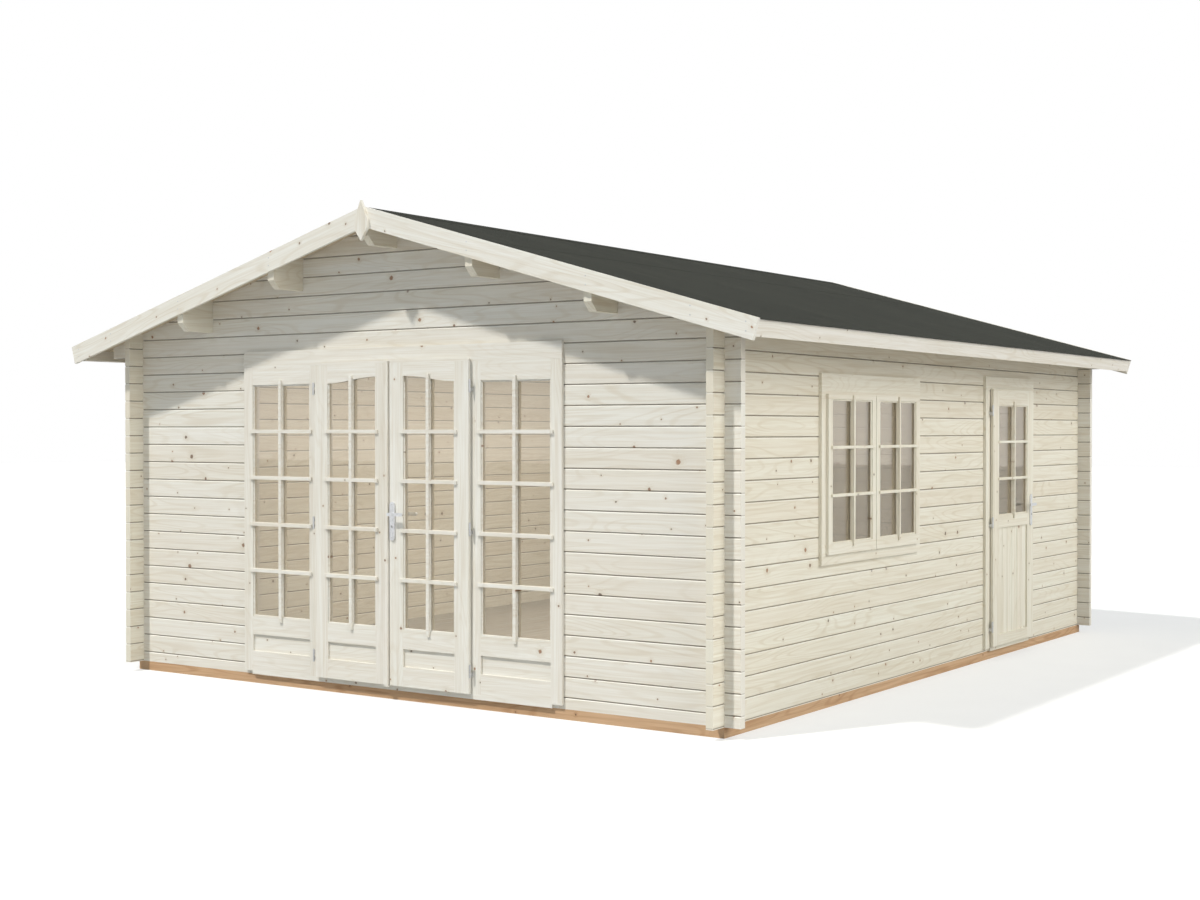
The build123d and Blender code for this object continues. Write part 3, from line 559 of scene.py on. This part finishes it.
ARCH_RISE = 0.036
BAR_BACK_INSET = 0.004
front_doors = (
    ("left", "front_leaf_left", "front_glass_left", "front_door_left"),
    ("right", "front_leaf_right", "front_glass_right", "front_door_right"),
)
for side, leaf, pane, body in front_doors:
    low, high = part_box(pane)
    opening = pane_opening(low, high, X, ARCH_RISE)
    glazing_bars(
        f"front_bars_{side}",
        place_front,
        opening,
        depth_front(leaf, 0),
        depth_front(pane, 0),
        depth_front(pane, 1),
        depth_front(leaf, 1) - BAR_BACK_INSET,
        FRONT_PANE_ROWS,
        front_joinery,
        body,
        ARCH_RISE,
    )
    beads(f"front_beads_{side}", place_front, opening, depth_front(pane, 0), front_joinery, body, "lrb")

low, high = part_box("side_lights")
SIDE_LIGHT_WIDTH = 0.490
light_face = depth_front("front_casing", 0)
light_back = light_face + WALL
for side, name in ((-1, "left"), (1, "right")):
    outer = side * (high[0] - GLASS_REBATE)
    inner = outer - side * SIDE_LIGHT_WIDTH
    opening = (min(outer, inner), max(outer, inner), low[2] + GLASS_REBATE, high[2] - GLASS_REBATE)
    glass_depths = (depth_front("side_lights", 0), depth_front("side_lights", 1))
    glazing_bars(
        f"side_light_bars_{name}",
        place_front,
        opening,
        light_face,
        glass_depths[0],
        glass_depths[1],
        light_back - BAR_BACK_INSET,
        FRONT_PANE_ROWS,
        front_joinery,
        "cabin",
    )
    beads(f"side_light_beads_{name}", place_front, opening, glass_depths[0], front_joinery, "cabin")

low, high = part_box("side_glass")
side_opening = pane_opening(low, high, Y)
glazing_bars(
    "side_door_bars",
    place_side,
    side_opening,
    depth_side("side_leaf", 0),
    depth_side("side_glass", 0),
    depth_side("side_glass", 1),
    depth_side("side_leaf", 1) - BAR_BACK_INSET,
    SIDE_PANE_ROWS,
    side_joinery,
    "side_door",
    width=SIDE_BAR_WIDTH,
)
beads("side_door_beads", place_side, side_opening, depth_side("side_glass", 0), side_joinery, "side_door")

SASH_MEETING = 0.006
SASH_STILE = 0.050
low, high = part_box("window_glass")
sash_low, sash_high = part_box("window_sashes")
window_middle = (sash_low[1] + sash_high[1]) / 2
for side, name in ((-1, "front"), (1, "back")):
    outer = window_middle + side * ((sash_high[1] - sash_low[1]) / 2 - SASH_STILE)
    inner = window_middle + side * (SASH_MEETING / 2 + SASH_STILE)
    opening = (min(outer, inner), max(outer, inner), low[2] + GLASS_REBATE, high[2] - GLASS_REBATE)
    glazing_bars(
        f"window_bars_{name}",
        place_side,
        opening,
        depth_side("window_sashes", 0),
        depth_side("window_glass", 0),
        depth_side("window_glass", 1),
        depth_side("window_sashes", 1) - BAR_BACK_INSET,
        SIDE_PANE_ROWS,
        side_joinery,
        "cabin",
        width=SIDE_BAR_WIDTH,
    )
    beads(f"window_beads_{name}", place_side, opening, depth_side("window_glass", 0), side_joinery, "cabin")


# Roofing felt: laps between its rolls, and a cap along the ridge
felt_low, felt_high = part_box("roof_felt")
ridge = felt_high[2]
fall = (felt_high[2] - felt_low[2]) / felt_high[0]
tilt = math.atan(fall)
slope_run = felt_high[0] / math.cos(tilt)


def slope_sheet(shape, side, start, stop, rise, thickness, begin, end):
    """Thin sheet on one slope, between two distances from the ridge."""
    def at(run, lift):
        x = run * math.cos(tilt) + lift * math.sin(tilt)
        return side * x, ridge - run * math.sin(tilt) + lift * math.cos(tilt)
    section = [at(start, rise), at(stop, rise), at(stop, rise + thickness), at(start, rise + thickness)]
    rings = []
    for y in (begin, end):
        rings.append([shape.verts.new((x, y, z)) for x, z in section])
    count = len(section)
    for i in range(count):
        j = (i + 1) % count
        shape.faces.new((rings[0][i], rings[0][j], rings[1][j], rings[1][i]))
    shape.faces.new(rings[0])
    shape.faces.new(list(reversed(rings[1])))


LAP_WIDTH = 0.10
LAP_SUNK = 0.0005
LAP_END_MARGIN = 0.002
lap_start = felt_low[1] + LAP_END_MARGIN
lap_stop = felt_high[1] - LAP_END_MARGIN
laps = bmesh.new()
for side in (-1, 1):
    edge = FELT_LAP_STEP
    while edge < slope_run:
        slope_sheet(laps, side, edge - LAP_WIDTH, edge, -LAP_SUNK, FELT_LAP_RISE, lap_start, lap_stop)
        edge += FELT_LAP_STEP
    slope_sheet(laps, side, 0.0, RIDGE_CAP_WIDTH / 2, -LAP_SUNK, FELT_LAP_RISE, lap_start, lap_stop)
bmesh.ops.recalc_face_normals(laps, faces=list(laps.faces))
lap_mesh = bpy.data.meshes.new("felt_laps")
laps.to_mesh(lap_mesh)
laps.free()
add_piece("felt_laps", lap_mesh, felt_finish, "cabin")


# Handles: plate screws, key cylinders and keyholes
RIM_TAPER = 0.86


def discs(name, places, radius, thickness, finish, body, segments=20):
    """Round buttons, each from a middle point and the direction it faces, with an eased rim."""
    shape = bmesh.new()
    for middle, facing in places:
        turn = facing.to_track_quat("Z", "Y").to_matrix().to_4x4()
        turn.translation = middle + facing * (thickness / 2)
        bmesh.ops.create_cone(
            shape,
            cap_ends=True,
            segments=segments,
            radius1=radius,
            radius2=radius * RIM_TAPER,
            depth=thickness,
            matrix=turn,
        )
    mesh = bpy.data.meshes.new(name)
    shape.to_mesh(mesh)
    shape.free()
    return add_piece(name, mesh, finish, body)


SCREW_RADIUS = 0.0035
EDGE_SCREW_RADIUS = 0.004
EDGE_SCREW_SIDES = 12
SCREW_THICKNESS = 0.0012
CYLINDER_RADIUS = 0.0085
CYLINDER_PROUD = 0.003
CYLINDER_SIDES = 28
KEYHOLE_HALF_HEIGHT = 0.0045
KEYHOLE_HALF_WIDTH = 0.001
KEYHOLE_PROUD = 0.0032
KEYHOLE_DEPTH = 0.0004
PLATE_SCREW_INSET = 0.016
OUT_FRONT = Vector((0, -1, 0))
OUT_SIDE = Vector((1, 0, 0))


def plate_details(name, node, lever_node, place, axis, outwards, body):
    """Screws and key cylinder on both plates of a door."""
    low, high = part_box(node)
    lever_low, lever_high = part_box(lever_node)
    middle = (low[axis] + high[axis]) / 2
    lever_z = (lever_low[2] + lever_high[2]) / 2
    face = FRONT_FACE - low[1] if axis == X else high[0] - RIGHT_FACE
    inner = high[1] - FRONT_FACE if axis == X else RIGHT_FACE - low[0]
    screws = []
    keys = []
    for depth, direction in ((-face, outwards), (inner, -outwards)):
        for z in (low[2] + PLATE_SCREW_INSET, high[2] - PLATE_SCREW_INSET):
            screws.append((place(middle, depth, z), direction))
        keys.append((place(middle, depth, lever_z - KEY_BELOW_LEVER), direction))
    discs(f"{name}_plate_screws", screws, SCREW_RADIUS, SCREW_THICKNESS, hinge_metal, body)
    discs(
        f"{name}_key_cylinder", keys, CYLINDER_RADIUS, CYLINDER_PROUD,
        hinge_metal, body, CYLINDER_SIDES,
    )
    # Thin dark slots laid on the key cylinders paint the shade inside each keyhole
    slots = []
    for spot, direction in keys:
        tip = spot + direction * KEYHOLE_PROUD
        sideways = direction.cross(Vector((0, 0, 1))) * KEYHOLE_HALF_WIDTH
        upwards = Vector((0, 0, KEYHOLE_HALF_HEIGHT))
        slots.append((tip - sideways - upwards, tip + sideways + upwards + direction * KEYHOLE_DEPTH))
    boxes_piece(f"{name}_keyholes", slots, keyhole_shade, body, 0.0)


plate_details("front", "front_plates", "front_lever", place_front, X, OUT_FRONT, "front_door_right")
plate_details("side", "side_plates", "side_lever", place_side, Y, OUT_SIDE, "side_door")

# Screws through the front bargeboards into the purlins and the roof boards
barge_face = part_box("finial")[1][1]
barge_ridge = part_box("bargeboards")[1][2]
EDGE_SCREWS_ACROSS = (-2.52, -2.2, -1.56, -0.762, 0.762, 1.56, 2.2, 2.52)
EDGE_SCREW_DROPS = (0.035, 0.082)
screws = []
for x in EDGE_SCREWS_ACROSS:
    for drop in EDGE_SCREW_DROPS:
        height = barge_ridge - abs(x) * SLOPE_FALL - drop
        screws.append((Vector((x, barge_face, height)), OUT_FRONT))
discs(
    "edge_board_screws", screws, EDGE_SCREW_RADIUS, SCREW_THICKNESS,
    hinge_metal, "cabin", EDGE_SCREW_SIDES,
)


# Stage
def backdrop():
    """Pale floor that looks white to the camera away from the shadow."""
    s = Shader("stage_floor")
    place = s.node("ShaderNodeTexCoord").outputs["Object"]
    speckle = s.noise(place, 3.0, 3.0)
    seen = s.node("ShaderNodeLightPath").outputs["Is Camera Ray"]
    pale = s.mix(s.ramp(speckle, 0.3, 0.7, 0.0, 1.0), (0.955, 0.955, 0.950, 1.0), (0.975, 0.975, 0.970, 1.0))
    tint = s.mix(seen, (0.46, 0.46, 0.46, 1.0), pale)
    matt = s.node("ShaderNodeBsdfDiffuse", Color=tint)
    lit = s.node("ShaderNodeEmission", Color=(1.0, 1.0, 1.0, 1.0), Strength=1.0)
    lift = s.math("MULTIPLY", seen, 0.45)
    shader = s.node("ShaderNodeMixShader", i0=lift, i1=matt.outputs[0], i2=lit.outputs[0])
    return s.finish(shader.outputs[0])


FLOOR_SIZE = 120.0
bpy.ops.mesh.primitive_plane_add(size=FLOOR_SIZE, location=(0, 0, 0))
ground = bpy.context.object
ground.name = "stage_floor"
ground.data.materials.append(backdrop())

world = bpy.data.worlds.new("studio")
bpy.context.scene.world = world
world.use_nodes = True
world.node_tree.nodes.clear()


def world_node(kind, **inputs):
    made = world.node_tree.nodes.new(kind)
    for key, value in inputs.items():
        made.inputs[key].default_value = value
    return made


SKY_LIGHT = 0.40
soft_sky = world_node("ShaderNodeBackground", Color=(0.84, 0.94, 1.0, 1.0), Strength=SKY_LIGHT)
white = world_node("ShaderNodeBackground", Color=(1.0, 1.0, 1.0, 1.0), Strength=1.0)
path = world.node_tree.nodes.new("ShaderNodeLightPath")
seen_or_mirrored = world.node_tree.nodes.new("ShaderNodeMath")
seen_or_mirrored.operation = "MAXIMUM"
seen_at_all = world.node_tree.nodes.new("ShaderNodeMath")
seen_at_all.operation = "MAXIMUM"
chosen_sky = world.node_tree.nodes.new("ShaderNodeMixShader")
world_out = world.node_tree.nodes.new("ShaderNodeOutputWorld")
link = world.node_tree.links.new
link(path.outputs["Is Camera Ray"], seen_or_mirrored.inputs[0])
link(path.outputs["Is Glossy Ray"], seen_or_mirrored.inputs[1])
link(seen_or_mirrored.outputs[0], seen_at_all.inputs[0])
link(path.outputs["Is Transmission Ray"], seen_at_all.inputs[1])
link(seen_at_all.outputs[0], chosen_sky.inputs[0])
link(soft_sky.outputs[0], chosen_sky.inputs[1])
link(white.outputs[0], chosen_sky.inputs[2])
link(chosen_sky.outputs[0], world_out.inputs[0])


def lamp(name, kind, energy, turn, color, angle=0.0, place=(0, 0, 0), size=(1.0, 1.0)):
    """Lamp that shines along its own -Z, turned by degrees about X and Z."""
    data = bpy.data.lights.new(name, kind)
    data.energy = energy
    data.color = color
    if kind == "SUN":
        data.angle = math.radians(angle)
    else:
        data.shape = "RECTANGLE"
        data.size, data.size_y = size
    made = bpy.data.objects.new(name, data)
    made.rotation_euler = [math.radians(value) for value in turn]
    made.location = place
    bpy.context.scene.collection.objects.link(made)
    return made


lamp("key_sun", "SUN", 2.75, (34.0, 0.0, -27.0), (1.0, 0.975, 0.93), 3.0)
lamp("right_fill", "SUN", 2.0, (60.0, 0.0, 90.0), (1.0, 0.97, 0.91), 55.0)
lamp("room_light", "AREA", 85.0, (0.0, 0.0, 0.0), (1.0, 0.95, 0.88), place=(0.0, 0.0, 2.15), size=(3.4, 4.4))

# Camera at the photograph's place
CAMERA_PLACE = (6.5785, -10.0915, 1.5835)
CAMERA_AZIMUTH = 34.10
CAMERA_TILT = -0.68
FOCAL_PIXELS = 1669.8
PHOTO_WIDTH = 1200
AXIS_PIXEL = 616
SENSOR = 36.0
camera_data = bpy.data.cameras.new("photo_view")
camera_data.sensor_width = SENSOR
camera_data.lens = FOCAL_PIXELS / PHOTO_WIDTH * SENSOR
camera_data.shift_x = (PHOTO_WIDTH / 2 - AXIS_PIXEL) / PHOTO_WIDTH
camera_data.clip_end = 300.0
camera = bpy.data.objects.new("photo_view", camera_data)
camera.location = CAMERA_PLACE
camera.rotation_euler = (math.radians(90 + CAMERA_TILT), 0.0, math.radians(CAMERA_AZIMUTH))
bpy.context.scene.collection.objects.link(camera)
bpy.context.scene.camera = camera
bpy.context.scene.view_settings.view_transform = "Standard"
